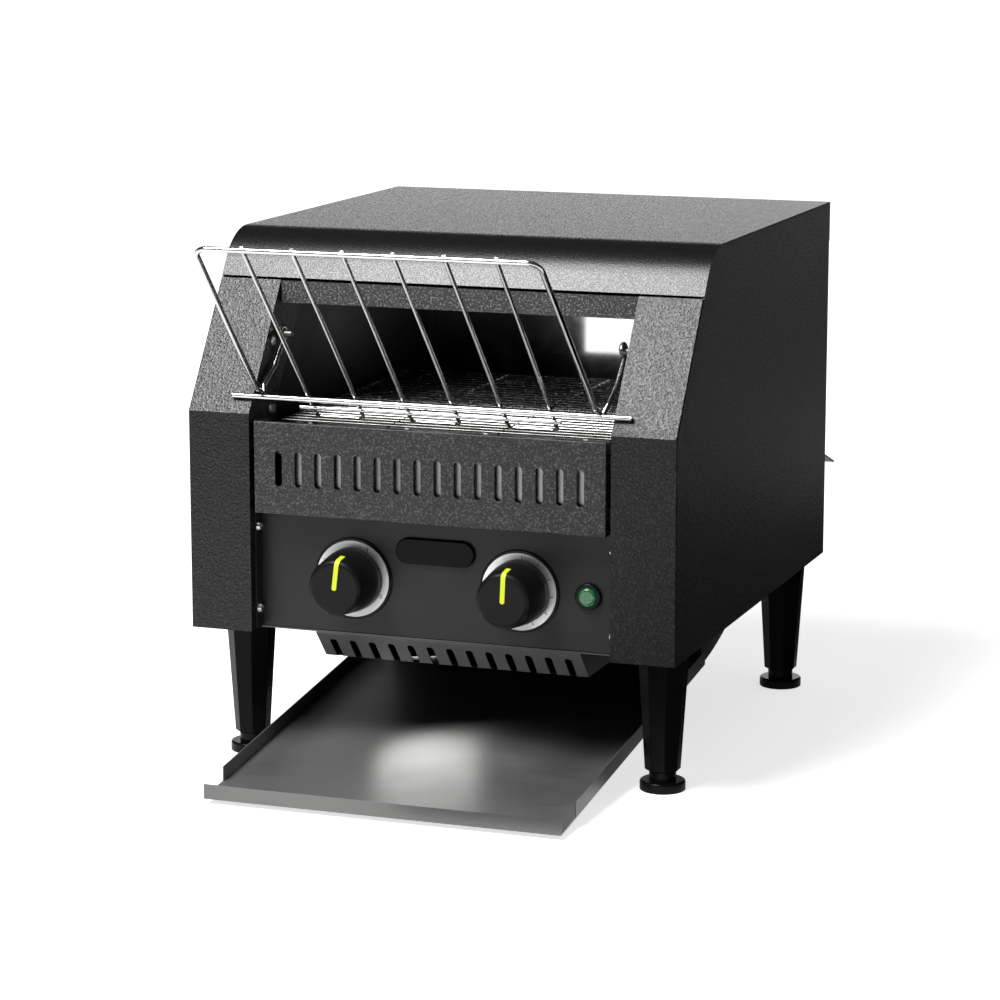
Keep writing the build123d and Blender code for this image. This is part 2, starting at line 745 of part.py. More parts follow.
# Toast tray: a flat slope with a lip across its front and a flange along each side
with BuildPart() as toast_tray:
    tray = (-tray_half_width, tray_half_width)
    back_z = tray_z(tray_back_y)
    profile(((tray_front_y, tray_front_z), (tray_back_y, back_z), (tray_back_y, back_z + tray_sheet),
             (tray_front_y, tray_front_z + tray_sheet)), tray)
    lip_back = tray_front_y + tray_sheet
    profile(((tray_front_y, tray_front_z), (lip_back, tray_z(lip_back)), (lip_back, tray_front_z + tray_lip),
             (tray_front_y, tray_front_z + tray_lip)), tray)
    flange_y = tray_front_y + tray_flange_start
    mirrored_profile(((flange_y, tray_z(flange_y)), (tray_back_y, back_z),
                      (tray_back_y, back_z + tray_flange), (flange_y, tray_z(flange_y) + tray_flange)),
                     (tray_half_width - tray_sheet, tray_half_width))
finish(toast_tray, "toast_tray")

# Two rods under the tray, fixed under the chute's front edge
runner_drop = runner_diameter / 2 + part_gap
runner_back_y = chute_bend_y - runner_back_gap
with BuildPart() as tray_runners:
    for side in (-1, 1):
        cylinder((side * runner_x, runner_front_y, tray_z(runner_front_y) - runner_drop),
                 (side * runner_x, runner_back_y, tray_z(runner_back_y) - runner_drop - runner_back_drop),
                 runner_diameter)
finish(tray_runners, "tray_runners")


# Legs with their screw feet and top studs
def octagon(across):
    """Corner radius of an octagon from its width across flats."""
    return across / 2 / cos(pi / 8)


corner_names = {(-1, 0): "front_left", (1, 0): "front_right", (-1, 1): "rear_left", (1, 1): "rear_right"}
for (side, row), corner_name in corner_names.items():
    spot = (side * leg_x, leg_ys[row])
    with BuildPart() as leg:
        with BuildSketch(Plane(origin=place(*spot, leg_bottom_z))):
            RegularPolygon(octagon(leg_across[1]), 8, rotation=22.5)
        with BuildSketch(Plane(origin=place(*spot, base_z))):
            RegularPolygon(octagon(leg_across[0]), 8, rotation=22.5)
        loft()
        fillet(leg.edges().filter_by(lambda e: abs(e.tangent_at(0.5).Z) > 0.9), leg_edge)
        chamfer(leg.faces().sort_by(Axis.Z)[0].edges(), leg_end_edge)
        cylinder((*spot, base_z - stud_depth - 2), (*spot, base_z + 1),
                 stud_diameter + sheet_gap, Mode.SUBTRACT)
        cylinder((*spot, leg_bottom_z - 1), (*spot, leg_bottom_z + foot_thread_reach + 1),
                 foot_thread + 2 * running_clearance, Mode.SUBTRACT)
    finish(leg, f"{corner_name}_leg")
    with BuildPart() as foot:
        cylinder((*spot, 0), (*spot, pad_thickness), pad_diameter)
        fillet(foot.edges().group_by(Axis.Z)[-1], pad_edges[1])
        chamfer(foot.edges().group_by(Axis.Z)[0], pad_edges[0])
        cylinder((*spot, pad_thickness - 0.5), (*spot, leg_bottom_z - part_gap), neck_diameter)
        cylinder((*spot, pad_thickness), (*spot, leg_bottom_z + foot_thread_reach), foot_thread)
    finish(foot, f"{corner_name}_foot")

with BuildPart() as leg_studs:
    for (side, row) in corner_names:
        spot = (side * leg_x, leg_ys[row])
        cylinder((*spot, base_z - stud_depth), (*spot, floor_top_z + stud_top), stud_diameter)
        with BuildSketch(Plane(origin=place(*spot, floor_top_z))) as nut:
            RegularPolygon(nut_radius, 6)
        extrude(nut.sketch, amount=nut_height)
finish(leg_studs, "leg_studs")


# Feed rack: a bent frame, two cross rods and three wire hairpins
def on_rack(x, down, out=0.0):
    """A point on the rack from its distance down the slope and out of the frame's plane."""
    y = rack_top[0] + down * rack_down[0] + out * rack_up_normal[0]
    z = rack_top[1] + down * rack_down[1] + out * rack_up_normal[1]
    return place(x + rack_side_play, y, z)


hook_start_angle = radians(hook_start)
hook_end_angle = hook_start_angle + radians(hook_sweep)


def on_hook(x, angle):
    """A point on the hook's curl round its peg."""
    return place(x + rack_side_play, peg_y + hook_radius * cos(angle),
                 peg_z + hook_radius * sin(angle))


def side_points(side):
    """The frame's route from the top corner, behind the cross rod and up to the hook's curl."""
    curl = on_hook(side * hook_x, hook_start_angle)
    before, behind = (on_rack(side * rack_bottom_half, rack_length - back, out) for back, out in frame_kink)
    toe = on_rack(side * rack_bottom_half, rack_length + frame_toe[0], frame_toe[1])
    heel = Vector(curl.X, toe.Y + frame_heel[0], toe.Z + frame_heel[1])
    knee = curl - Vector(0, cos(pi / 4), sin(pi / 4)) * hook_stem
    return [on_rack(side * rack_top_half, 0), before, behind, toe, heel, knee, curl]


with BuildPart() as rack_frame:
    left_points = side_points(-1)
    right_points = side_points(1)
    with BuildLine() as frame_path:
        route = left_points[::-1] + right_points
        half_radii = [rack_top_bend, frame_bend, rack_turn, frame_bend, frame_bend, rack_corner]
        radii = half_radii + half_radii[::-1]
        FilletPolyline(*route, radius=radii)
        for side, points in ((-1, left_points), (1, right_points)):
            middle_angle = (hook_start_angle + hook_end_angle) / 2
            ThreePointArc(points[-1], on_hook(side * hook_x, middle_angle),
                          on_hook(side * hook_x, hook_end_angle))
    frame_wire = Wire(frame_path.edges())
    bent_wire(frame_wire, rack_rod)
finish(rack_frame, "rack_frame")

with BuildPart() as rack_cross_rod:
    middle_x = rack_side_play + cross_rod_offset
    cylinder((middle_x - cross_rod_half, cross_rod_y, cross_rod_z),
             (middle_x + cross_rod_half, cross_rod_y, cross_rod_z), rack_rod)
    chamfer(rack_cross_rod.edges().filter_by(GeomType.CIRCLE), rack_rod / 10)
finish(rack_cross_rod, "rack_cross_rod")

wire_out = (rack_rod + rack_wire) / 2
tail_down = rack_length + rack_tail
with BuildPart() as rack_stop_rod:
    start = on_rack(-rack_stop_half, tail_down - rack_stop_rise, wire_out - rack_wire)
    with BuildSketch(Plane(origin=start, z_dir=(1, 0, 0))) as stop_section:
        Circle(rack_wire / 2)
    extrude(stop_section.sketch, amount=2 * rack_stop_half)
    chamfer(rack_stop_rod.edges().filter_by(GeomType.CIRCLE), rack_wire / 10)
finish(rack_stop_rod, "rack_stop_rod")

with BuildPart() as rack_hairpins:
    for index in range(rack_wire_count // 2):
        first_x = hairpin_offset + (2 * index - (rack_wire_count - 1) / 2) * rack_wire_pitch
        second_x = first_x + rack_wire_pitch
        with BuildLine() as hairpin_path:
            FilletPolyline(on_rack(first_x, -rack_tip, wire_out), on_rack(first_x, tail_down, wire_out),
                           on_rack(second_x, tail_down, wire_out), on_rack(second_x, -rack_tip, wire_out),
                           radius=hairpin_radius)
        bent_wire(hairpin_path.line, rack_wire)
finish(rack_hairpins, "rack_hairpins")

with BuildPart() as rack_pegs:
    for side in (-1, 1):
        cylinder((side * wall_x, peg_y, peg_z), (side * (wall_x - peg_length), peg_y, peg_z), peg_diameter)
        cylinder((side * wall_x, peg_y, peg_z), (side * (chamber_outer_x + screw_tail), peg_y, peg_z),
                 peg_stem_diameter)
    peg_ends = rack_pegs.edges().filter_by(GeomType.CIRCLE).filter_by(
        lambda e: abs(e.center().X) < wall_x - peg_length / 2)
    chamfer(peg_ends, peg_edge)
finish(rack_pegs, "rack_pegs")


# Heating chamber
def chamber_wall(side):
    """A chamber wall behind the column's return, with its foot and holes for shafts and heaters."""
    front = chamber_front_setback
    with BuildPart() as wall:
        back = chamber_back_y + chamber_tail
        slant_top = front + (chamber_top_z - bend_z) / tan(slant)
        profile(((front, floor_top_z), (front, bend_z), (slant_top, chamber_top_z), (back, chamber_top_z),
                 (back, floor_top_z)), (return_outer_x, chamber_outer_x))
        block((chamber_outer_x, chamber_outer_x + chamber_foot), (return_depth + 2, back),
              (floor_top_z, floor_top_z + sheet))
        round_holes = [(y, shaft_z, bush_diameter) for y in (front_shaft_y, rear_shaft_y)]
        round_holes += [(y, z, heater_cap_diameter) for y, z in heater_sites]
        if side > 0:
            round_holes.append((motor_y, motor_z, shaft_diameter + motor_hole_gap))
        else:
            round_holes.append((loom_ys[0], loom_z, loom_diameter + loom_hole_gap))
        for y, z, diameter in round_holes:
            cylinder((return_outer_x - 1, y, z), (chamber_outer_x + 1, y, z), diameter, Mode.SUBTRACT)
        wall_holes((return_outer_x - 1, chamber_outer_x + 1))
    if side < 0:
        with BuildPart() as left:
            add(wall.part.mirror(Plane.YZ))
        return left
    return wall


heater_sites = [(y, upper_heater_z) for y in upper_heater_ys] + [(y, shaft_z) for y in lower_heater_ys]
finish(chamber_wall(1), "right_chamber_wall")
finish(chamber_wall(-1), "left_chamber_wall")


def clear_returns(z):
    """Cut a plate back from the columns' returns at its height."""
    back = return_depth + max(0, z + sheet - bend_z) / tan(slant) + sheet_gap
    for side in (-1, 1):
        ends = sorted((side * wall_x, side * (return_outer_x + 1)))
        block(ends, (0, back), (z - 1, z + sheet + 1), Mode.SUBTRACT)


with BuildPart() as chamber_ceiling:
    block((-return_outer_x, return_outer_x), (strip_y + sheet, chamber_back_y + sheet),
          (ceiling_z, ceiling_z + sheet))
    clear_returns(ceiling_z)
finish(chamber_ceiling, "chamber_ceiling")

with BuildPart() as chamber_back:
    block((-return_outer_x, return_outer_x), (chamber_back_y, chamber_back_y + sheet),
          (chute_top_z, ceiling_z))
finish(chamber_back, "chamber_back")

with BuildPart() as lower_shield:
    block((-return_outer_x, return_outer_x), (shield_front_y, drop_y[0]), (shield_z, shield_z + sheet))
    block((-return_outer_x, return_outer_x), (drop_y[0] - sheet, drop_y[0]), (floor_top_z, shield_z))
    clear_returns(shield_z)
finish(lower_shield, "lower_shield")

with BuildPart() as heater_tubes:
    for y, z in heater_sites:
        cylinder((heater_cap_depth - wall_x, y, z), (wall_x - heater_cap_depth, y, z), heater_diameter)
finish(heater_tubes, "heater_tubes")

with BuildPart() as heater_caps:
    for y, z in heater_sites:
        for side in (-1, 1):
            cylinder((side * (wall_x - heater_cap_depth), y, z),
                     (side * (chamber_outer_x + heater_cap_reach), y, z), heater_cap_diameter - sheet_gap)
finish(heater_caps, "heater_caps")

# Wire belt: cross wires hooked to each other, round the two shafts
step_angle = 2 * pi / sprocket_teeth
belt_points = [(front_shaft_y + k * belt_pitch, shaft_z + sprocket_radius) for k in range(belt_spans + 1)]
turn_points = [(sprocket_radius * sin(k * step_angle), sprocket_radius * cos(k * step_angle))
               for k in range(1, sprocket_teeth // 2)]
belt_points += [(rear_shaft_y + y, shaft_z + z) for y, z in turn_points]
belt_points += [(rear_shaft_y - k * belt_pitch, shaft_z - sprocket_radius) for k in range(belt_spans + 1)]
belt_points += [(front_shaft_y - y, shaft_z - z) for y, z in turn_points]

with BuildPart() as belt_link:
    with BuildSketch(Plane.YZ.offset(-belt_half_width)) as wire_section:
        Circle(belt_wire / 2)
    extrude(wire_section.sketch, amount=2 * belt_half_width)
    for x in belt_link_xs:
        with BuildSketch(Plane(origin=(x, 0, 0), z_dir=(0, 1, 0))) as hook_section:
            Circle(belt_hook / 2)
        extrude(hook_section.sketch, amount=belt_pitch)

with BuildPart() as wire_belt:
    spots = []
    for (y, z), (next_y, next_z) in zip(belt_points, belt_points[1:] + belt_points[:1]):
        turn = degrees(atan2(next_z - z, next_y - y))
        spots.append(Location(place(0, y, z), (turn, 0, 0)))
    with Locations(*spots):
        add(belt_link.part)
finish(wire_belt, "wire_belt")


# Shafts, sprockets and bushes
def belt_sprockets(y):
    """Four toothed wheels on a shaft, whose teeth end just under the belt's wires."""
    tip_radius = sprocket_radius - belt_wire / 2 - part_gap
    root_radius = tip_radius - sprocket_tooth[1]
    tooth_middle = sqrt(tip_radius ** 2 - (sprocket_tooth[0] / 2) ** 2) - sprocket_tooth[1]
    with BuildPart() as wheels:
        for x in sprocket_xs:
            middle = (x - sprocket_thickness / 2, x + sprocket_thickness / 2)
            cylinder((middle[0], y, shaft_z), (middle[1], y, shaft_z), 2 * root_radius)
            tooth_plane = Plane(origin=place(middle[0], y, shaft_z), x_dir=(0, 1, 0), z_dir=(1, 0, 0))
            with BuildSketch(tooth_plane) as teeth:
                with PolarLocations(tooth_middle, sprocket_teeth, start_angle=degrees(step_angle) / 2):
                    Rectangle(2 * sprocket_tooth[1], sprocket_tooth[0])
            extrude(teeth.sketch, amount=sprocket_thickness)
        cylinder((-belt_half_width, y, shaft_z), (belt_half_width, y, shaft_z), shaft_diameter, Mode.SUBTRACT)
    return wheels


shaft_end = chamber_outer_x + shaft_tail
with BuildPart() as front_shaft:
    cylinder((-shaft_end, front_shaft_y, shaft_z), (shaft_end, front_shaft_y, shaft_z), shaft_diameter)
finish(front_shaft, "front_shaft")
with BuildPart() as rear_shaft:
    drive_end = chain_x + 2 * chain_width
    cylinder((-shaft_end, rear_shaft_y, shaft_z), (drive_end, rear_shaft_y, shaft_z), shaft_diameter)
finish(rear_shaft, "rear_shaft")
finish(belt_sprockets(front_shaft_y), "front_sprockets")
finish(belt_sprockets(rear_shaft_y), "rear_sprockets")

with BuildPart() as shaft_bushes:
    for y in (front_shaft_y, rear_shaft_y):
        for side in (-1, 1):
            outer = chamber_outer_x + bush_flange
            cylinder((side * return_outer_x, y, shaft_z), (side * (outer + bush_tail), y, shaft_z),
                     bush_diameter - bush_press_gap)
            cylinder((side * chamber_outer_x, y, shaft_z), (side * outer, y, shaft_z), bush_flange_diameter)
            cylinder((side * wall_x, y, shaft_z), (side * shaft_end, y, shaft_z),
                     shaft_diameter + 2 * running_clearance, Mode.SUBTRACT)
finish(shaft_bushes, "shaft_bushes")

# Drive: gear motor, pinion, chain and driven wheel
chain = (chain_x - chain_width / 2, chain_x + chain_width / 2)
with BuildPart() as drive_wheel:
    cylinder((chain[0], rear_shaft_y, shaft_z), (chain[1], rear_shaft_y, shaft_z), drive_wheel_diameter)
    hub = (chain[0] - wheel_hub_side, chain[1] + wheel_hub_side)
    cylinder((hub[0], rear_shaft_y, shaft_z), (hub[1], rear_shaft_y, shaft_z), wheel_hub_diameter)
    with BuildSketch(Plane(origin=place(hub[0], rear_shaft_y, shaft_z), z_dir=(1, 0, 0))) as lightening:
        with PolarLocations(wheel_hole_radius, wheel_holes):
            Circle(wheel_hole_diameter / 2)
    extrude(lightening.sketch, amount=hub[1] - hub[0], mode=Mode.SUBTRACT)
    cylinder((hub[0], rear_shaft_y, shaft_z), (hub[1], rear_shaft_y, shaft_z),
             shaft_diameter + bush_press_gap, Mode.SUBTRACT)
finish(drive_wheel, "drive_wheel")

with BuildPart() as motor_pinion:
    cylinder((chain[0], motor_y, motor_z), (chain[1], motor_y, motor_z), pinion_diameter)
    cylinder((wall_x - pinion_stem, motor_y, motor_z), (chain[1] + wheel_hub_side, motor_y, motor_z),
             shaft_diameter)
finish(motor_pinion, "motor_pinion")

with BuildPart() as drive_chain:
    for offset_radius, mode in ((part_gap + chain_thickness, Mode.ADD), (part_gap, Mode.SUBTRACT)):
        with BuildSketch(side_plane(chain[0])) as loop:
            with Locations((rear_shaft_y, shaft_z)):
                Circle(drive_wheel_diameter / 2 + offset_radius)
            with Locations((motor_y, motor_z)):
                Circle(pinion_diameter / 2 + offset_radius)
            make_hull()
        extrude(loop.sketch, amount=chain_width, mode=mode)
finish(drive_chain, "drive_chain")

with BuildPart() as drive_motor:
    gearbox = (return_outer_x - gearbox_length, return_outer_x)
    half_box = gearbox_size / 2
    block(gearbox, (motor_y - half_box, motor_y + half_box), (motor_z - half_box, motor_z + half_box))
    cylinder((gearbox[0] - motor_length, motor_y, motor_z), (gearbox[0], motor_y, motor_z), motor_diameter)
    cylinder((wall_x - pinion_stem - 1, motor_y, motor_z), (return_outer_x + 1, motor_y, motor_z),
             shaft_diameter + 2 * running_clearance, Mode.SUBTRACT)
finish(drive_motor, "drive_motor")


# Controls
def dial_bezel(x, outer, inner, y):
    """A flat ring on the control panel."""
    with BuildSketch(front_plane(y[1])) as ring:
        with Locations((x, dial_z)):
            Circle(outer / 2)
            Circle(inner / 2, mode=Mode.SUBTRACT)
    extrude(ring.sketch, amount=y[1] - y[0])


bezel_y = (panel_y - bezel_thickness, panel_y)
ring_y = (bezel_y[0] - ring_thickness, bezel_y[0])
with BuildPart() as dial_bezels:
    for side in (-1, 1):
        dial_bezel(side * dial_x, bezel_diameter, bezel_bore, bezel_y)
    chamfer(dial_bezels.edges().filter_by(GeomType.CIRCLE).filter_by(
        lambda e: e.radius > bezel_bore and e.center().Y < front_y + panel_y - bezel_edge), bezel_edge)
finish(dial_bezels, "dial_bezels")

with BuildPart() as dial_rings:
    for side in (-1, 1):
        dial_bezel(side * dial_x, ring_diameters[0], ring_diameters[1], ring_y)
finish(dial_rings, "dial_rings")

knob_back_y = ring_y[0] - knob_clearance


def control_knob(x):
    """A smooth round knob with a skirt, and the spindle that it turns."""
    base = knob_diameters[0] / 2
    front = knob_diameters[1] / 2
    axis_plane = Plane(origin=place(x, 0, dial_z), x_dir=(1, 0, 0), z_dir=(0, 0, 1))
    with BuildPart() as knob:
        with BuildSketch(axis_plane):
            with BuildLine():
                Polyline((0, knob_back_y), (base, knob_back_y), (base, knob_back_y - knob_skirt),
                         (front, knob_front_y), (0, knob_front_y), close=True)
            make_face()
        revolve(axis=Axis(place(x, 0, dial_z), (0, 1, 0)))
        front_edge = knob.edges().filter_by(GeomType.CIRCLE).sort_by(Axis.Y)[0]
        fillet(front_edge, knob_edge_radius)
        cylinder((x, knob_back_y - 1, dial_z), (x, panel_y + spindle_reach, dial_z), spindle_diameter)
    return knob


def knob_pointer(x, angle):
    """A raised line from the knob's middle over its edge and part of the way down its side."""
    front = knob_diameters[1] / 2
    flare = (knob_diameters[0] / 2 - front) / (knob_back_y - knob_skirt - knob_front_y)
    face_y = knob_front_y - pointer_lift
    bend = knob_edge_radius + pointer_lift / 2
    tip = (face_y, front - knob_edge_radius)
    shoulder = (face_y + bend, front + pointer_lift / 2 + flare * bend)
    halfway = (face_y + bend * (1 - cos(pi / 4)), tip[1] + (shoulder[1] - tip[1]) * sin(pi / 4))
    side_end = (knob_front_y + pointer_side, front + pointer_lift + flare * pointer_side)
    with BuildPart() as pointer:
        plane = Plane(origin=place(x - pointer_width / 2, 0, dial_z), x_dir=(0, 1, 0), z_dir=(1, 0, 0))
        with BuildSketch(plane):
            with BuildLine():
                Line((face_y, -pointer_inset), tip)
                ThreePointArc(tip, halfway, shoulder)
                Polyline(shoulder, side_end, (side_end[0], tip[1]),
                         (knob_front_y + pointer_inset, -pointer_inset), (face_y, -pointer_inset))
            make_face()
        extrude(amount=pointer_width)
        fillet(pointer.edges().filter_by(Axis.Y).group_by(Axis.Z)[0], pointer_width * 0.45)
        add(control_knob(x).part, mode=Mode.SUBTRACT)
    turned = pointer.part.rotate(Axis(place(x, 0, dial_z), (0, -1, 0)), -angle)
    with BuildPart() as placed:
        add(turned)
    return placed


for x, angle, name in ((-dial_x, heat_pointer_angle, "heat"), (dial_x, speed_pointer_angle, "speed")):
    finish(control_knob(x), f"{name}_knob")
    finish(knob_pointer(x, angle), f"{name}_pointer")

panel_back_y = panel_y + sheet


def spindle_bore(x):
    """Clear the running hole for a knob's spindle."""
    cylinder((x, panel_y, dial_z), (x, panel_y + spindle_reach + 1, dial_z),
             spindle_diameter + 2 * running_clearance, Mode.SUBTRACT)


with BuildPart() as heat_switch:
    half_switch = switch_size / 2
    switch_back_y = panel_back_y + switch_depth
    block((-dial_x - half_switch, -dial_x + half_switch), (panel_back_y, switch_back_y),
          (dial_z - half_switch, dial_z + half_switch))
    spindle_bore(-dial_x)
    tab_width, tab_reach, tab_sheet = switch_tab
    for row in (-1, 0, 1):
        tab_z = dial_z + row * switch_tab_pitch
        for side in (-1, 1):
            tab_x = -dial_x + side * switch_tab_x
            block((tab_x - tab_width / 2, tab_x + tab_width / 2), (switch_back_y, switch_back_y + tab_reach),
                  (tab_z, tab_z + tab_sheet))
finish(heat_switch, "heat_switch")

with BuildPart() as speed_control:
    foot_width, foot_depth, foot_height = pot_foot
    foot_top_z = dial_z - pot_foot_drop
    foot_y = panel_back_y + pot_foot_back
    cylinder((dial_x, panel_back_y, dial_z), (dial_x, panel_back_y + pot_depth, dial_z), pot_diameter)
    block((dial_x - foot_width / 2, dial_x + foot_width / 2), (foot_y, foot_y + foot_depth),
          (foot_top_z - foot_height, foot_top_z))
    spindle_bore(dial_x)
finish(speed_control, "speed_control")

with BuildPart() as lamp_bezel:
    cylinder((lamp_x, panel_y, dial_z), (lamp_x, panel_y - lamp_bezel_height, dial_z), lamp_bezel_diameter)
    fillet(lamp_bezel.edges().sort_by(Axis.Y)[0], lamp_bezel_edge)
    cylinder((lamp_x, panel_y - 1, dial_z), (lamp_x, panel_y + lamp_barrel[1], dial_z), lamp_barrel[0])
    cylinder((lamp_x, panel_y - lamp_bezel_height - 1, dial_z), (lamp_x, panel_y, dial_z),
             lamp_lens_diameter, Mode.SUBTRACT)
finish(lamp_bezel, "lamp_bezel")

with BuildPart() as lamp_lens:
    cylinder((lamp_x, panel_y, dial_z), (lamp_x, panel_y - lamp_lens_height, dial_z), lamp_lens_diameter)
    fillet(lamp_lens.edges().sort_by(Axis.Y)[0], lamp_lens_edge)
finish(lamp_lens, "lamp_lens")

with BuildPart() as badge_plate:
    with BuildSketch(front_plane(panel_y)):
        with Locations((0, badge_z)):
            SlotOverall(badge_size[0], badge_size[1])
    extrude(amount=badge_thickness)
    fillet(badge_plate.faces().sort_by(Axis.Y)[0].edges(), badge_edge)
finish(badge_plate, "badge_plate")

# Wiring, terminal block and the cable's gland at the back
with BuildPart() as terminal_block:
    block_top_z = floor_top_z + block_height
    block(block_x, block_y, (floor_top_z, block_top_z))
    first_screw_x = sum(block_x) / 2 - (block_screws - 1) / 2 * block_screw_pitch
    for index in range(block_screws):
        screw = (first_screw_x + index * block_screw_pitch, sum(block_y) / 2)
        cylinder((*screw, block_top_z - block_screw_depth), (*screw, block_top_z + 1),
                 block_screw_diameter, Mode.SUBTRACT)
finish(terminal_block, "terminal_block")

with BuildPart() as wiring_loom:
    with BuildLine() as loom_path:
        loom_side_x = loom_side_gap - side_inside_x
        FilletPolyline(place(block_x[0], loom_ys[1], loom_z), place(loom_side_x, loom_ys[1], loom_z),
                       place(loom_side_x, loom_ys[0], loom_z), place(-dial_x, loom_ys[0], loom_z),
                       place(-dial_x, switch_back_y, loom_z), radius=loom_bend)
    bent_wire(loom_path.line, loom_diameter)
finish(wiring_loom, "wiring_loom")

with BuildPart() as cable_gland:
    inner_y = depth - sheet - gland_reach[0]
    outer_y = depth + gland_reach[1]
    cylinder((gland_x, depth, gland_z), (gland_x, depth + gland_flange[1], gland_z), gland_flange[0])
    cylinder((gland_x, inner_y, gland_z), (gland_x, outer_y, gland_z), gland_body)
    cylinder((gland_x, inner_y - 1, gland_z), (gland_x, outer_y + 1, gland_z), cable_bore, Mode.SUBTRACT)
finish(cable_gland, "cable_gland")

# Fasteners
with BuildPart() as panel_screws:
    for side in (-1, 1):
        for index, (y, z) in enumerate(wall_screws):
            seat_x = wall_x - sheet if index < 2 else wall_x
            pan_screw((side * seat_x, y, z), (-side, 0, 0), chamber_outer_x - seat_x + screw_tail)
        pan_screw((side * wall_x, *peg_screw), (-side, 0, 0), chamber_outer_x - wall_x + screw_tail,
                  head_height=peg_screw_height)
    for x, z in lid_screw_sites:
        pan_screw((x, lid_back_y, z), (0, 1, 0), lid_back_y - depth + sheet + screw_tail)
    for x, z in hood_screw_sites:
        pan_screw((x, depth + sheet, z), (0, 1, 0), 2 * sheet + screw_tail)
finish(panel_screws, "panel_screws")
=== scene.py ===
"""Looks of the conveyor toaster: finishes, dial marks, studio light and camera."""

from math import cos, pi, radians, sin

import bmesh
import bpy
from mathutils import Matrix, Vector


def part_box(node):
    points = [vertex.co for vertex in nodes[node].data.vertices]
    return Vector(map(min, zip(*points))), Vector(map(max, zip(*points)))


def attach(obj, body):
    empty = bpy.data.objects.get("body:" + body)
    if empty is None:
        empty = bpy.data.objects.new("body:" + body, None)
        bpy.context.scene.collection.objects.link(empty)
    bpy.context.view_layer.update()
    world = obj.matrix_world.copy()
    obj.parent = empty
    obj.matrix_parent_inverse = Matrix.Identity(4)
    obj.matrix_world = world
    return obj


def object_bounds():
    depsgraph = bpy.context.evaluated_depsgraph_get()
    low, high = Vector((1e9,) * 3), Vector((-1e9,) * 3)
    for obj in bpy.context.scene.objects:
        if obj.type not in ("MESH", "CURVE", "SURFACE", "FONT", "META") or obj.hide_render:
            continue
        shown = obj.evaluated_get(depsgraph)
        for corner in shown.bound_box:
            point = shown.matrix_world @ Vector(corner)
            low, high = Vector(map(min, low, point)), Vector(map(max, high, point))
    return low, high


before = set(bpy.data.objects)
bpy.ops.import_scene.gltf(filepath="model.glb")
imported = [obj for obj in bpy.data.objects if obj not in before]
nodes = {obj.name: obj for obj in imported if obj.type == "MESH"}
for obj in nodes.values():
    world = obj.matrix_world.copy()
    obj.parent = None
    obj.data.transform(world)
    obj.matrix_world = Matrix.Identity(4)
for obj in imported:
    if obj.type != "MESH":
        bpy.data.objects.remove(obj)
cad_low, cad_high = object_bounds()

# Millimetres measured back from the columns' front face, as in the part's source
front_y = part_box("left_side_panel")[0].y * 1000
dial_x = 63.5
dial_z = 144.8
ring_face_y = 15.7
ring_middle_radius = 24.75
print_lift = 0.05
numeral_height = 0.0046
tick_size = (0.0006, 0.0001, 0.0022)


def place(x, y, z):
    """A point of the frame, in metres."""
    return Vector((x / 1000, (front_y + y) / 1000, z / 1000))


# Materials
def new_material(name, color, roughness, metallic=0.0):
    """A material with its principled shader set."""
    material = bpy.data.materials.new(name)
    material.use_nodes = True
    shader = material.node_tree.nodes["Principled BSDF"]
    shader.inputs["Base Color"].default_value = (*color, 1)
    shader.inputs["Roughness"].default_value = roughness
    shader.inputs["Metallic"].default_value = metallic
    return material, shader


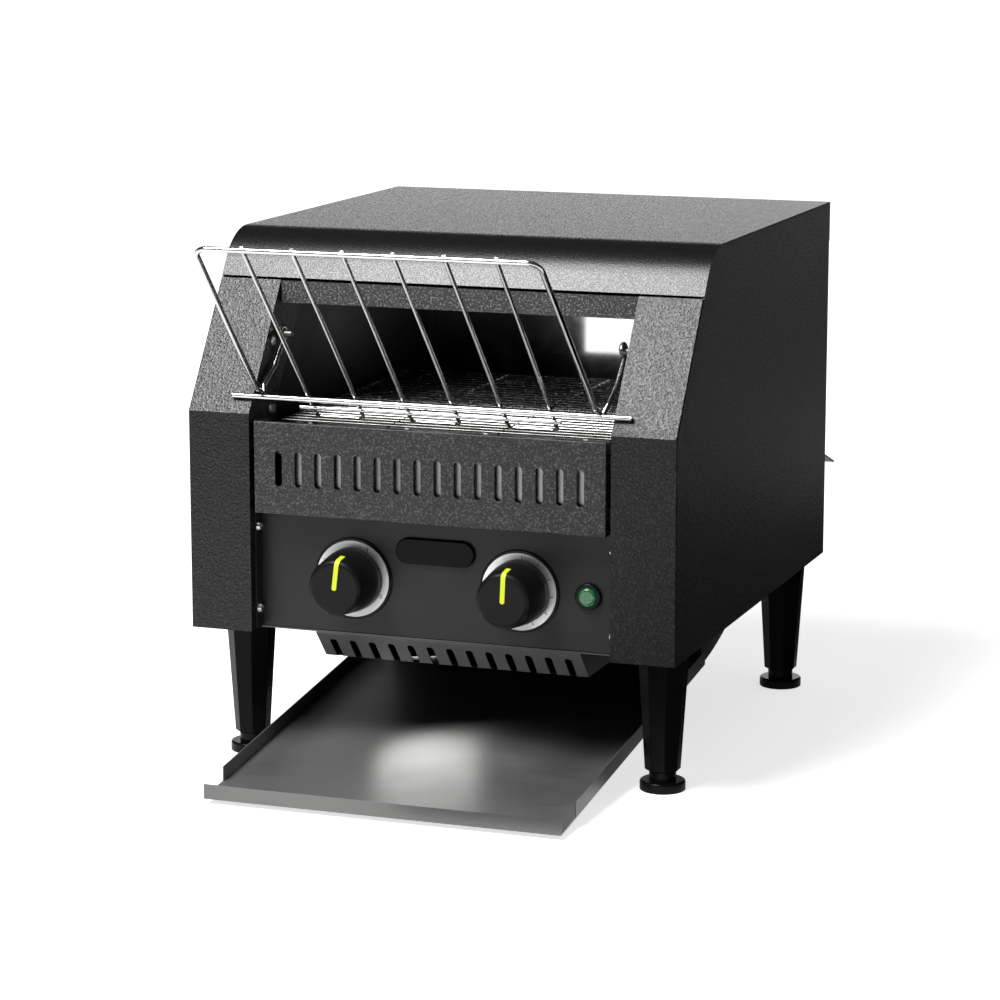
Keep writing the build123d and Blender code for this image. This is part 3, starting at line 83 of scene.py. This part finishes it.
class Graph:
    """Short calls for building a material's nodes."""

    def __init__(self, material):
        self.tree = material.node_tree
        self.coordinates = self.make("ShaderNodeTexCoord").outputs["Object"]

    def make(self, kind, **values):
        made = self.tree.nodes.new(kind)
        for key, value in values.items():
            setattr(made, key, value)
        return made

    def set(self, made, name, value):
        if isinstance(value, bpy.types.NodeSocket):
            self.tree.links.new(value, made.inputs[name])
        else:
            made.inputs[name].default_value = value

    def stretched(self, scale, turn=(0, 0, 0)):
        """Object coordinates scaled on each axis."""
        mapping = self.make("ShaderNodeMapping")
        self.set(mapping, "Vector", self.coordinates)
        self.set(mapping, "Scale", scale)
        self.set(mapping, "Rotation", turn)
        return mapping.outputs["Vector"]

    def noise(self, scale, detail=2.0, roughness=0.5, vector=None):
        texture = self.make("ShaderNodeTexNoise")
        self.set(texture, "Vector", vector or self.coordinates)
        self.set(texture, "Scale", scale)
        self.set(texture, "Detail", detail)
        self.set(texture, "Roughness", roughness)
        return texture.outputs["Fac"]

    def cells(self, scale, feature="SMOOTH_F1", output="Distance"):
        texture = self.make("ShaderNodeTexVoronoi", feature=feature)
        self.set(texture, "Vector", self.coordinates)
        self.set(texture, "Scale", scale)
        return texture.outputs[output]

    def ramp(self, value, low, high, out_low=0.0, out_high=1.0):
        """Map one range of numbers smoothly to another."""
        mapped = self.make("ShaderNodeMapRange", interpolation_type="SMOOTHSTEP")
        self.set(mapped, "Value", value)
        self.set(mapped, "From Min", low)
        self.set(mapped, "From Max", high)
        self.set(mapped, "To Min", out_low)
        self.set(mapped, "To Max", out_high)
        return mapped.outputs["Result"]

    def math(self, operation, first, second=0.0):
        made = self.make("ShaderNodeMath", operation=operation)
        for index, value in enumerate((first, second)):
            if isinstance(value, bpy.types.NodeSocket):
                self.tree.links.new(value, made.inputs[index])
            else:
                made.inputs[index].default_value = value
        return made.outputs[0]

    def mix(self, factor, first, second):
        """Blend two colours."""
        mixed = self.make("ShaderNodeMix", data_type="RGBA")
        self.set(mixed, "Factor", factor)
        for index, value in ((6, first), (7, second)):
            if isinstance(value, bpy.types.NodeSocket):
                self.tree.links.new(value, mixed.inputs[index])
            else:
                mixed.inputs[index].default_value = (*value, 1)
        return mixed.outputs[2]

    def bump(self, height, strength, distance, under=None):
        made = self.make("ShaderNodeBump")
        self.set(made, "Height", height)
        self.set(made, "Strength", strength)
        self.set(made, "Distance", distance)
        if under:
            self.set(made, "Normal", under)
        return made.outputs["Normal"]

    def axis(self, index):
        """One of the object coordinates."""
        split = self.make("ShaderNodeSeparateXYZ")
        self.set(split, "Vector", self.coordinates)
        return split.outputs[index]


def powder_coat(name, dark, light, grain, strength, roughness, level):
    """Textured powder coat: fine rounded grains, whose tops are painted paler as glints: a painted highlight.
    """
    material, shader = new_material(name, dark, roughness)
    shader.inputs["Specular IOR Level"].default_value = level
    graph = Graph(material)
    grains = graph.noise(grain, 2.0, 0.5)
    pits = graph.cells(grain * 0.8)
    height = graph.math("ADD", grains, graph.math("MULTIPLY", pits, 0.35))
    graph.set(shader, "Normal", graph.bump(height, strength, 0.0005))
    # Painted highlight: the grain tops are written paler in colour, standing in for the glints the lamps
    # leave on them.
    graph.set(shader, "Base Color", graph.mix(graph.ramp(grains, 0.5, 0.68), dark, light))
    graph.set(shader, "Roughness", graph.ramp(grains, 0.35, 0.65, roughness + 0.08, roughness - 0.05))
    return material


def smooth_paint(name, color, roughness, level=0.5):
    """Smooth satin paint with a faint orange peel and soft marks."""
    material, shader = new_material(name, color, roughness)
    shader.inputs["Specular IOR Level"].default_value = level
    graph = Graph(material)
    peel = graph.noise(260.0, 2.0)
    smudge = graph.noise(14.0, 3.0, 0.6)
    graph.set(shader, "Normal", graph.bump(peel, 0.08, 0.0004))
    graph.set(shader, "Roughness", graph.ramp(smudge, 0.3, 0.75, roughness - 0.05, roughness + 0.07))
    worn = [value * 1.25 for value in color]
    graph.set(shader, "Base Color", graph.mix(graph.ramp(smudge, 0.35, 0.7), color, worn))
    return material


def brushed_steel(name, color, roughness, along, strength=0.12, stain=0.25, shine=0.1, spread=0.0):
    """Rolled sheet with fine lines along one axis, and a shine that may spread across them."""
    material, shader = new_material(name, color, roughness, 1.0)
    graph = Graph(material)
    scale = [2600.0, 2600.0, 2600.0]
    scale[along] = 22.0
    lines = graph.noise(1.0, 3.0, 0.6, graph.stretched(scale))
    marks = graph.noise(9.0, 4.0, 0.62)
    graph.set(shader, "Normal", graph.bump(lines, strength, 0.00025))
    lined = graph.ramp(lines, 0.3, 0.7, roughness - shine / 2, roughness + shine / 2)
    rough = graph.math("ADD", lined, graph.ramp(marks, 0.35, 0.75, -0.03, 0.05))
    graph.set(shader, "Roughness", rough)
    tint = graph.mix(graph.ramp(marks, 0.3, 0.8), color, [value * (1 - stain) for value in color])
    graph.set(shader, "Base Color", tint)
    if spread:
        shader.inputs["Anisotropic"].default_value = spread
        across = graph.make("ShaderNodeCombineXYZ")
        across.inputs[(along + 1) % 3].default_value = 1.0
        graph.set(shader, "Tangent", across.outputs["Vector"])
    return material


def plated(name, color, roughness, grime=0.35):
    """Bright plate with very slight drawn lines and dulling."""
    material, shader = new_material(name, color, roughness, 1.0)
    graph = Graph(material)
    dull = graph.noise(55.0, 4.0, 0.6)
    fine = graph.noise(900.0, 2.0)
    graph.set(shader, "Roughness", graph.ramp(dull, 0.35, 0.8, roughness, roughness + 0.12))
    dirt = graph.ramp(dull, 0.45, 0.85, 0, grime)
    graph.set(shader, "Base Color", graph.mix(dirt, color, (0.35, 0.34, 0.33)))
    graph.set(shader, "Normal", graph.bump(fine, 0.04, 0.0002))
    return material


def moulded(name, color, roughness, grain=1500.0, strength=0.06, level=0.5):
    """Moulded plastic with a faint grain."""
    material, shader = new_material(name, color, roughness)
    shader.inputs["Specular IOR Level"].default_value = level
    graph = Graph(material)
    fine = graph.noise(grain, 2.0)
    wear = graph.noise(40.0, 3.0)
    graph.set(shader, "Normal", graph.bump(fine, strength, 0.0002))
    graph.set(shader, "Roughness", graph.ramp(wear, 0.3, 0.75, roughness - 0.04, roughness + 0.06))
    return material


finishes = {
    "powder": powder_coat("powder_black", (0.0008, 0.0008, 0.0008), (0.014, 0.014, 0.0143), 620.0, 1.0, 0.33,
                          0.42),
    "lid": powder_coat("lid_black", (0.003, 0.003, 0.003), (0.008, 0.008, 0.0082), 900.0, 0.25, 0.29, 0.42),
    # Painted light: the strip and the vent panel wear the body's black powder coat, written paler here for
    # the light that falls on them.
    "strip": powder_coat("strip_black_painted_light", (0.025, 0.025, 0.0255), (0.2, 0.2, 0.204), 700.0, 1.0, 0.36, 0.5),
    "vent": powder_coat("vent_black_painted_light", (0.012, 0.012, 0.0122), (0.075, 0.075, 0.076), 700.0, 1.0, 0.36, 0.5),
    "panel": smooth_paint("panel_black", (0.013, 0.013, 0.0132), 0.4, 0.34),
    "leg": smooth_paint("leg_black", (0.003, 0.003, 0.0032), 0.28, 0.08),
    "bezel": smooth_paint("bezel_black", (0.002, 0.002, 0.002), 0.24, 0.2),
    "badge": smooth_paint("badge_black", (0.0015, 0.0015, 0.0015), 0.2, 0.1),
    "knob": moulded("knob_black", (0.006, 0.006, 0.006), 0.36, level=0.16),
    "chute": smooth_paint("chute_black", (0.005, 0.005, 0.0052), 0.35, 0.25),
    "tray": brushed_steel("tray_steel", (0.23, 0.228, 0.225), 0.44, 0, 0.05, 0.1, 0.05, 0.5),
    "pan": brushed_steel("pan_steel", (0.12, 0.12, 0.12), 0.5, 0, 0.06, 0.12),
    "liner": brushed_steel("liner_steel", (0.3, 0.3, 0.295), 0.35, 0),
    # Painted shade: the chamber's steel, and the shield under the belt, are written near black for the shade
    # inside the chamber.
    "chamber": brushed_steel("chamber_steel", (0.02, 0.02, 0.02), 0.4, 0, 0.06, 0.4),
    "back": brushed_steel("back_steel", (0.6, 0.6, 0.595), 0.16, 0, 0.02, 0.1, 0.04),
    "chrome": plated("rack_chrome", (0.68, 0.68, 0.68), 0.13),
    "foot": smooth_paint("foot_black", (0.003, 0.003, 0.003), 0.25, 0.12),
    "screw": plated("screw_steel", (0.62, 0.62, 0.63), 0.22),
    "shaft": brushed_steel("shaft_steel", (0.5, 0.5, 0.5), 0.3, 0),
    "bronze": plated("bush_bronze", (0.5, 0.36, 0.19), 0.35),
    "ceramic": moulded("ceramic", (0.75, 0.72, 0.66), 0.5, 400.0, 0.1),
    "pointer": moulded("pointer_green", (0.62, 0.72, 0.02), 0.45),
    "moulding": moulded("moulding", (0.6, 0.57, 0.5), 0.45),
    "sleeve": moulded("wire_sleeve", (0.02, 0.02, 0.02), 0.55, 700.0, 0.15),
    "motor": smooth_paint("motor_grey", (0.16, 0.165, 0.17), 0.4),
    "chain": plated("chain_steel", (0.16, 0.15, 0.14), 0.4, 0.5),
    "ink": moulded("mark_ink", (0.03, 0.03, 0.03), 0.5),
}


def heater_sheath():
    """Dark oxidised metal, dull and uneven."""
    material, shader = new_material("heater_sheath", (0.02, 0.02, 0.019), 0.5, 0.6)
    graph = Graph(material)
    scale = graph.noise(120.0, 3.0)
    graph.set(shader, "Roughness", graph.ramp(scale, 0.3, 0.7, 0.42, 0.62))
    tone = graph.mix(graph.ramp(scale, 0.4, 0.7), (0.012, 0.012, 0.012), (0.035, 0.032, 0.03))
    graph.set(shader, "Base Color", tone)
    return material


def belt_wire():
    """Stainless wire in two tones. The top run at the mouth is written darker than the rest, which isn't the
    real metal's way round: the lamps here brighten it, and this levels it to the photograph."""
    material, shader = new_material("belt_steel", (0.4, 0.39, 0.38), 0.26, 1.0)
    graph = Graph(material)
    behind = graph.ramp(graph.axis(1), (front_y + 50.0) / 1000, (front_y + 75.0) / 1000)
    below = graph.ramp(graph.axis(2), 0.242, 0.25, 1.0, 0.0)
    elsewhere = graph.math("MAXIMUM", behind, below)
    patches = graph.noise(70.0, 3.0, 0.6)
    mouth = graph.mix(graph.ramp(patches, 0.4, 0.8), (0.14, 0.137, 0.134), (0.065, 0.063, 0.061))
    graph.set(shader, "Base Color", graph.mix(elsewhere, mouth, (0.5, 0.49, 0.48)))
    graph.set(shader, "Roughness", graph.ramp(patches, 0.35, 0.8, 0.22, 0.34))
    return material


def dial_ring():
    """Silver disc brushed in circles round each dial; the fan of its shine is painted into its colour by the
    angle round the dial: a painted reflection.
    """
    material, shader = new_material("ring_silver", (0.56, 0.56, 0.57), 0.34, 1.0)
    graph = Graph(material)
    across = graph.math("SUBTRACT", graph.math("ABSOLUTE", graph.axis(0)), dial_x / 1000)
    height = graph.math("SUBTRACT", graph.axis(2), dial_z / 1000)
    across_squared = graph.math("MULTIPLY", across, across)
    height_squared = graph.math("MULTIPLY", height, height)
    radius = graph.math("SQRT", graph.math("ADD", across_squared, height_squared))
    circles = graph.make("ShaderNodeTexNoise", noise_dimensions="1D")
    graph.set(circles, "W", radius)
    graph.set(circles, "Scale", 5200.0)
    graph.set(shader, "Normal", graph.bump(circles.outputs["Fac"], 0.3, 0.0002))
    # Painted reflection: the colour turns paler and darker by turns round each dial, in the fan that a disc
    # brushed in circles shows in its shine.
    angle = graph.math("ARCTAN2", height, across)
    doubled = graph.math("ADD", graph.math("MULTIPLY", angle, 2.0), 0.6)
    painted_rays = graph.math("MULTIPLY", graph.math("COSINE", doubled), 0.5)
    shade = graph.ramp(painted_rays, -0.5, 0.5, 0.0, 1.0)
    graph.set(shader, "Base Color", graph.mix(shade, (0.45, 0.45, 0.455), (0.9, 0.9, 0.91)))
    return material


def lamp_glass():
    """Green lens with a grid of small prisms behind a clear skin."""
    material, shader = new_material("lens_green", (0.01, 0.16, 0.05), 0.2)
    graph = Graph(material)
    cross = graph.make("ShaderNodeTexBrick", offset=0.0)
    turned = graph.make("ShaderNodeMapping")
    graph.set(turned, "Vector", graph.coordinates)
    graph.set(turned, "Rotation", (pi / 2, 0, 0))
    graph.set(cross, "Vector", turned.outputs["Vector"])
    graph.set(cross, "Scale", 520.0)
    graph.set(cross, "Mortar Size", 0.12)
    graph.set(cross, "Brick Width", 0.5)
    graph.set(cross, "Row Height", 0.5)
    grid = cross.outputs["Fac"]
    graph.set(shader, "Base Color", graph.mix(grid, (0.007, 0.17, 0.052), (0.004, 0.07, 0.02)))
    graph.set(shader, "Normal", graph.bump(grid, 0.3, 0.0003))
    graph.set(shader, "Emission Color", graph.mix(grid, (0.01, 0.42, 0.12), (0.002, 0.06, 0.02)))
    shader.inputs["Emission Strength"].default_value = 0.1
    shader.inputs["Coat Weight"].default_value = 1.0
    shader.inputs["Coat Roughness"].default_value = 0.04
    return material


finishes["sheath"] = heater_sheath()
finishes["belt"] = belt_wire()
finishes["ring"] = dial_ring()
finishes["lens"] = lamp_glass()

node_finish = {
    "left_side_panel": "powder", "right_side_panel": "powder", "lid": "lid", "back_panel": "powder",
    "rear_hood": "powder", "upper_strip": "strip", "vent_panel": "vent", "vent_liner": "liner",
    "control_panel": "panel", "chassis_floor": "pan", "bottom_pan": "pan", "return_chute": "chute",
    "toast_tray": "tray", "tray_runners": "chrome", "leg_studs": "screw", "rack_frame": "chrome",
    "rack_cross_rod": "chrome", "rack_stop_rod": "chrome", "rack_hairpins": "chrome", "rack_pegs": "chain",
    "right_chamber_wall": "chamber", "left_chamber_wall": "chamber", "chamber_ceiling": "chamber",
    "chamber_back": "back", "lower_shield": "chamber", "heater_tubes": "sheath",
    "heater_caps": "ceramic", "wire_belt": "belt", "front_shaft": "shaft", "rear_shaft": "shaft",
    "front_sprockets": "shaft", "rear_sprockets": "shaft", "shaft_bushes": "bronze",
    "drive_wheel": "shaft", "motor_pinion": "shaft", "drive_chain": "chain", "drive_motor": "motor",
    "dial_bezels": "bezel", "dial_rings": "ring", "heat_knob": "knob", "heat_pointer": "pointer",
    "speed_knob": "knob", "speed_pointer": "pointer", "heat_switch": "moulding",
    "speed_control": "moulding", "lamp_bezel": "bezel", "lamp_lens": "lens", "badge_plate": "badge",
    "terminal_block": "moulding", "wiring_loom": "sleeve", "cable_gland": "bezel",
    "panel_screws": "screw",
}
for corner in ("front_left", "front_right", "rear_left", "rear_right"):
    node_finish[f"{corner}_leg"] = "leg"
    node_finish[f"{corner}_foot"] = "foot"
for name, finish_name in node_finish.items():
    for holder in nodes[name].material_slots:
        holder.material = finishes[finish_name]


# Dial marks
def add_piece(name, mesh, finish_name, body="body"):
    """A new object that rides on a body."""
    piece = bpy.data.objects.new(name, mesh)
    bpy.context.collection.objects.link(piece)
    mesh.materials.append(finishes[finish_name])
    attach(piece, body)
    return piece


def numeral(text, x, angle):
    """A flat printed numeral on a dial ring, upright, at a clockwise angle from the top."""
    curve = bpy.data.curves.new(f"numeral_{text}_{int(x)}", "FONT")
    curve.body = text
    curve.size = numeral_height
    curve.align_x = "CENTER"
    curve.align_y = "CENTER"
    curve.extrude = 0.00004
    holder = bpy.data.objects.new(curve.name, curve)
    bpy.context.collection.objects.link(holder)
    settled = holder.evaluated_get(bpy.context.evaluated_depsgraph_get())
    mesh = bpy.data.meshes.new_from_object(settled)
    bpy.data.objects.remove(holder)
    turn = radians(angle)
    across = x + ring_middle_radius * sin(turn)
    spot = place(across, ring_face_y - print_lift, dial_z + ring_middle_radius * cos(turn))
    mesh.transform(Matrix.Translation(spot) @ Matrix.Rotation(pi / 2, 4, "X"))
    return mesh


def dial_marks(name, x, numerals, ticks):
    """A dial's printed marks as one piece."""
    shape = bmesh.new()
    centre = Matrix.Translation(place(x, ring_face_y - print_lift, dial_z))
    for text, angle in numerals:
        shape.from_mesh(numeral(text, x, angle))
    for angle in ticks:
        turn = Matrix.Rotation(radians(angle), 4, "Y")
        tick = bmesh.ops.create_cube(shape, size=1.0)["verts"]
        bmesh.ops.scale(shape, vec=tick_size, verts=tick)
        bmesh.ops.translate(shape, vec=(0, 0, ring_middle_radius / 1000), verts=tick)
        bmesh.ops.transform(shape, matrix=centre @ turn, verts=tick)
    mesh = bpy.data.meshes.new(name)
    shape.to_mesh(mesh)
    shape.free()
    return add_piece(name, mesh, "ink")


dial_marks("heat_dial_marks", -dial_x, [("0", 118), ("1", 28), ("2", 298), ("3", 208)], ())
dial_marks("speed_dial_marks", dial_x, [("1", 5)], range(35, 300, 30))

# Camera
scene = bpy.context.scene
camera_data = bpy.data.cameras.new("camera")
camera = bpy.data.objects.new("camera", camera_data)
bpy.context.collection.objects.link(camera)
camera_data.sensor_width = 36.0
camera_data.lens = 119.0
camera.location = place(827.0, -2136.0, 656.0)
camera.rotation_euler = (radians(90 - 11.03), 0, radians(19.87))
scene.camera = camera


# Light
def area_light(name, location, target, size, power):
    """A rectangular lamp aimed at a point."""
    data = bpy.data.lights.new(name, "AREA")
    data.shape = "RECTANGLE"
    data.size, data.size_y = size
    data.energy = power
    lamp = bpy.data.objects.new(name, data)
    bpy.context.collection.objects.link(lamp)
    lamp.location = location
    lamp.rotation_euler = (Vector(target) - Vector(location)).to_track_quat("-Z", "Y").to_euler()
    lamp.visible_camera = False
    return lamp


def shine_light(name, location, target, size, power):
    """A lamp that acts only in shine, and lights no matt surface."""
    lamp = area_light(name, location, target, size, power)
    lamp.data.diffuse_factor = 0.0
    return lamp


# The key lights the object, and the others place its shine: on the slopes, on the tray from under the pan,
# and on the chamber's back
lit_middle = (0, -0.1, 0.3)
area_light("key", (-0.78, -1.37, 2.05), lit_middle, (1.25, 0.7), 44)
shine_light("sheen_light", (-0.6, -1.0, 2.25), lit_middle, (0.9, 0.9), 46)
tray_light = shine_light("tray_light", place(-28.0, 60.0, 62.0), place(10.0, -26.0, 11.4), (0.08, 0.05), 0.04)
tray_light.data.shape = "ELLIPSE"
shine_light("chamber_glint", place(58.0, 325.0, 278.0), place(58.0, 372.0, 278.0), (0.16, 0.045), 0.045)

# Floor and surroundings: white to the camera, dimmer in reflections, with the object's shadow kept
floor_in_shine = 0.25
floor_half = 40.0
near_glow = 0.68
glow_start = 0.55
glow_end = 1.7
world_fill = 0.25
world_in_shine = 0.06
floor_material, floor_shader = new_material("floor_white", (0.82, 0.82, 0.82), 1.0)
floor_shader.inputs["Specular IOR Level"].default_value = 0.0
floor_graph = Graph(floor_material)
path = floor_graph.make("ShaderNodeLightPath")
mirrored_floor = floor_graph.math("MULTIPLY", path.outputs["Is Glossy Ray"], floor_in_shine)
shown_floor = floor_graph.math("MAXIMUM", path.outputs["Is Camera Ray"], mirrored_floor)
flat = floor_graph.make("ShaderNodeVectorMath", operation="LENGTH")
floor_graph.set(flat, "Vector", floor_graph.coordinates)
floor_glow = floor_graph.ramp(flat.outputs["Value"], glow_start, glow_end, near_glow, 1.0)
floor_graph.set(floor_shader, "Emission Color", (1, 1, 1, 1))
floor_graph.set(floor_shader, "Emission Strength", floor_graph.math("MULTIPLY", shown_floor, floor_glow))


def stage_plane(name, corners, material):
    """A flat part of the studio."""
    mesh = bpy.data.meshes.new(name)
    mesh.from_pydata(corners, [], [(0, 1, 2, 3)])
    mesh.materials.append(material)
    plane = bpy.data.objects.new(name, mesh)
    bpy.context.collection.objects.link(plane)
    return plane


def lying(low, high, lift):
    """Corners of a flat board at a height over the floor."""
    near = [(low[0], low[1], lift), (high[0], low[1], lift)]
    return near + [(high[0], high[1], lift), (low[0], high[1], lift)]


def standing(start, end, top):
    """Corners of an upright board between two points of the floor."""
    return [(*start, 0), (*end, 0), (*end, top), (*start, top)]


def mirrored_plane(name, corners, glow):
    """A flat board of the studio that only reflections see."""
    material, shader = new_material(name, (0, 0, 0), 1.0)
    shader.inputs["Specular IOR Level"].default_value = 0.0
    shader.inputs["Emission Color"].default_value = (1, 1, 1, 1)
    shader.inputs["Emission Strength"].default_value = glow
    board = stage_plane(name, corners, material)
    board.visible_camera = False
    board.visible_diffuse = False
    board.visible_transmission = False
    board.visible_shadow = False


stage_plane("floor", lying((-floor_half, -floor_half), (floor_half, floor_half), 0), floor_material)

# Boards seen only in reflections: black beside and before the object, bright behind it
flag_x = 0.3
side_x = 0.19
card_lift = 0.001
card_front_y = -0.7
card_back_y = cad_low.y - 0.01
mirrored_plane("flag", standing((flag_x, -0.25), (flag_x, 2.5), 1.6), 0.0)
mirrored_plane("backdrop", standing((-4.0, 2.6), (4.0, 2.6), 0.95), 1.6)
mirrored_plane("side_card", lying((side_x, card_front_y), (flag_x, 1.0), card_lift), 0.0)
mirrored_plane("front_card", lying((0.0, card_front_y), (side_x, card_back_y), card_lift), 0.0)

world = bpy.data.worlds.new("studio")
world.use_nodes = True
scene.world = world
world_tree = world.node_tree
world_tree.nodes.clear()
world_path = world_tree.nodes.new("ShaderNodeLightPath")
shown = world_tree.nodes.new("ShaderNodeMath")
shown.operation = "MAXIMUM"
world_tree.links.new(world_path.outputs["Is Camera Ray"], shown.inputs[0])
world_tree.links.new(world_path.outputs["Is Transmission Ray"], shown.inputs[1])
mirrored = world_tree.nodes.new("ShaderNodeMapRange")
world_tree.links.new(world_path.outputs["Is Glossy Ray"], mirrored.inputs["Value"])
mirrored.inputs["To Min"].default_value = world_fill
mirrored.inputs["To Max"].default_value = world_in_shine
strength = world_tree.nodes.new("ShaderNodeMapRange")
world_tree.links.new(shown.outputs[0], strength.inputs["Value"])
world_tree.links.new(mirrored.outputs["Result"], strength.inputs["To Min"])
strength.inputs["To Max"].default_value = 1.0
sky = world_tree.nodes.new("ShaderNodeBackground")
sky.inputs["Color"].default_value = (1, 1, 1, 1)
world_tree.links.new(strength.outputs["Result"], sky.inputs["Strength"])
world_output = world_tree.nodes.new("ShaderNodeOutputWorld")
world_tree.links.new(sky.outputs[0], world_output.inputs["Surface"])
scene.view_settings.view_transform = "Standard"
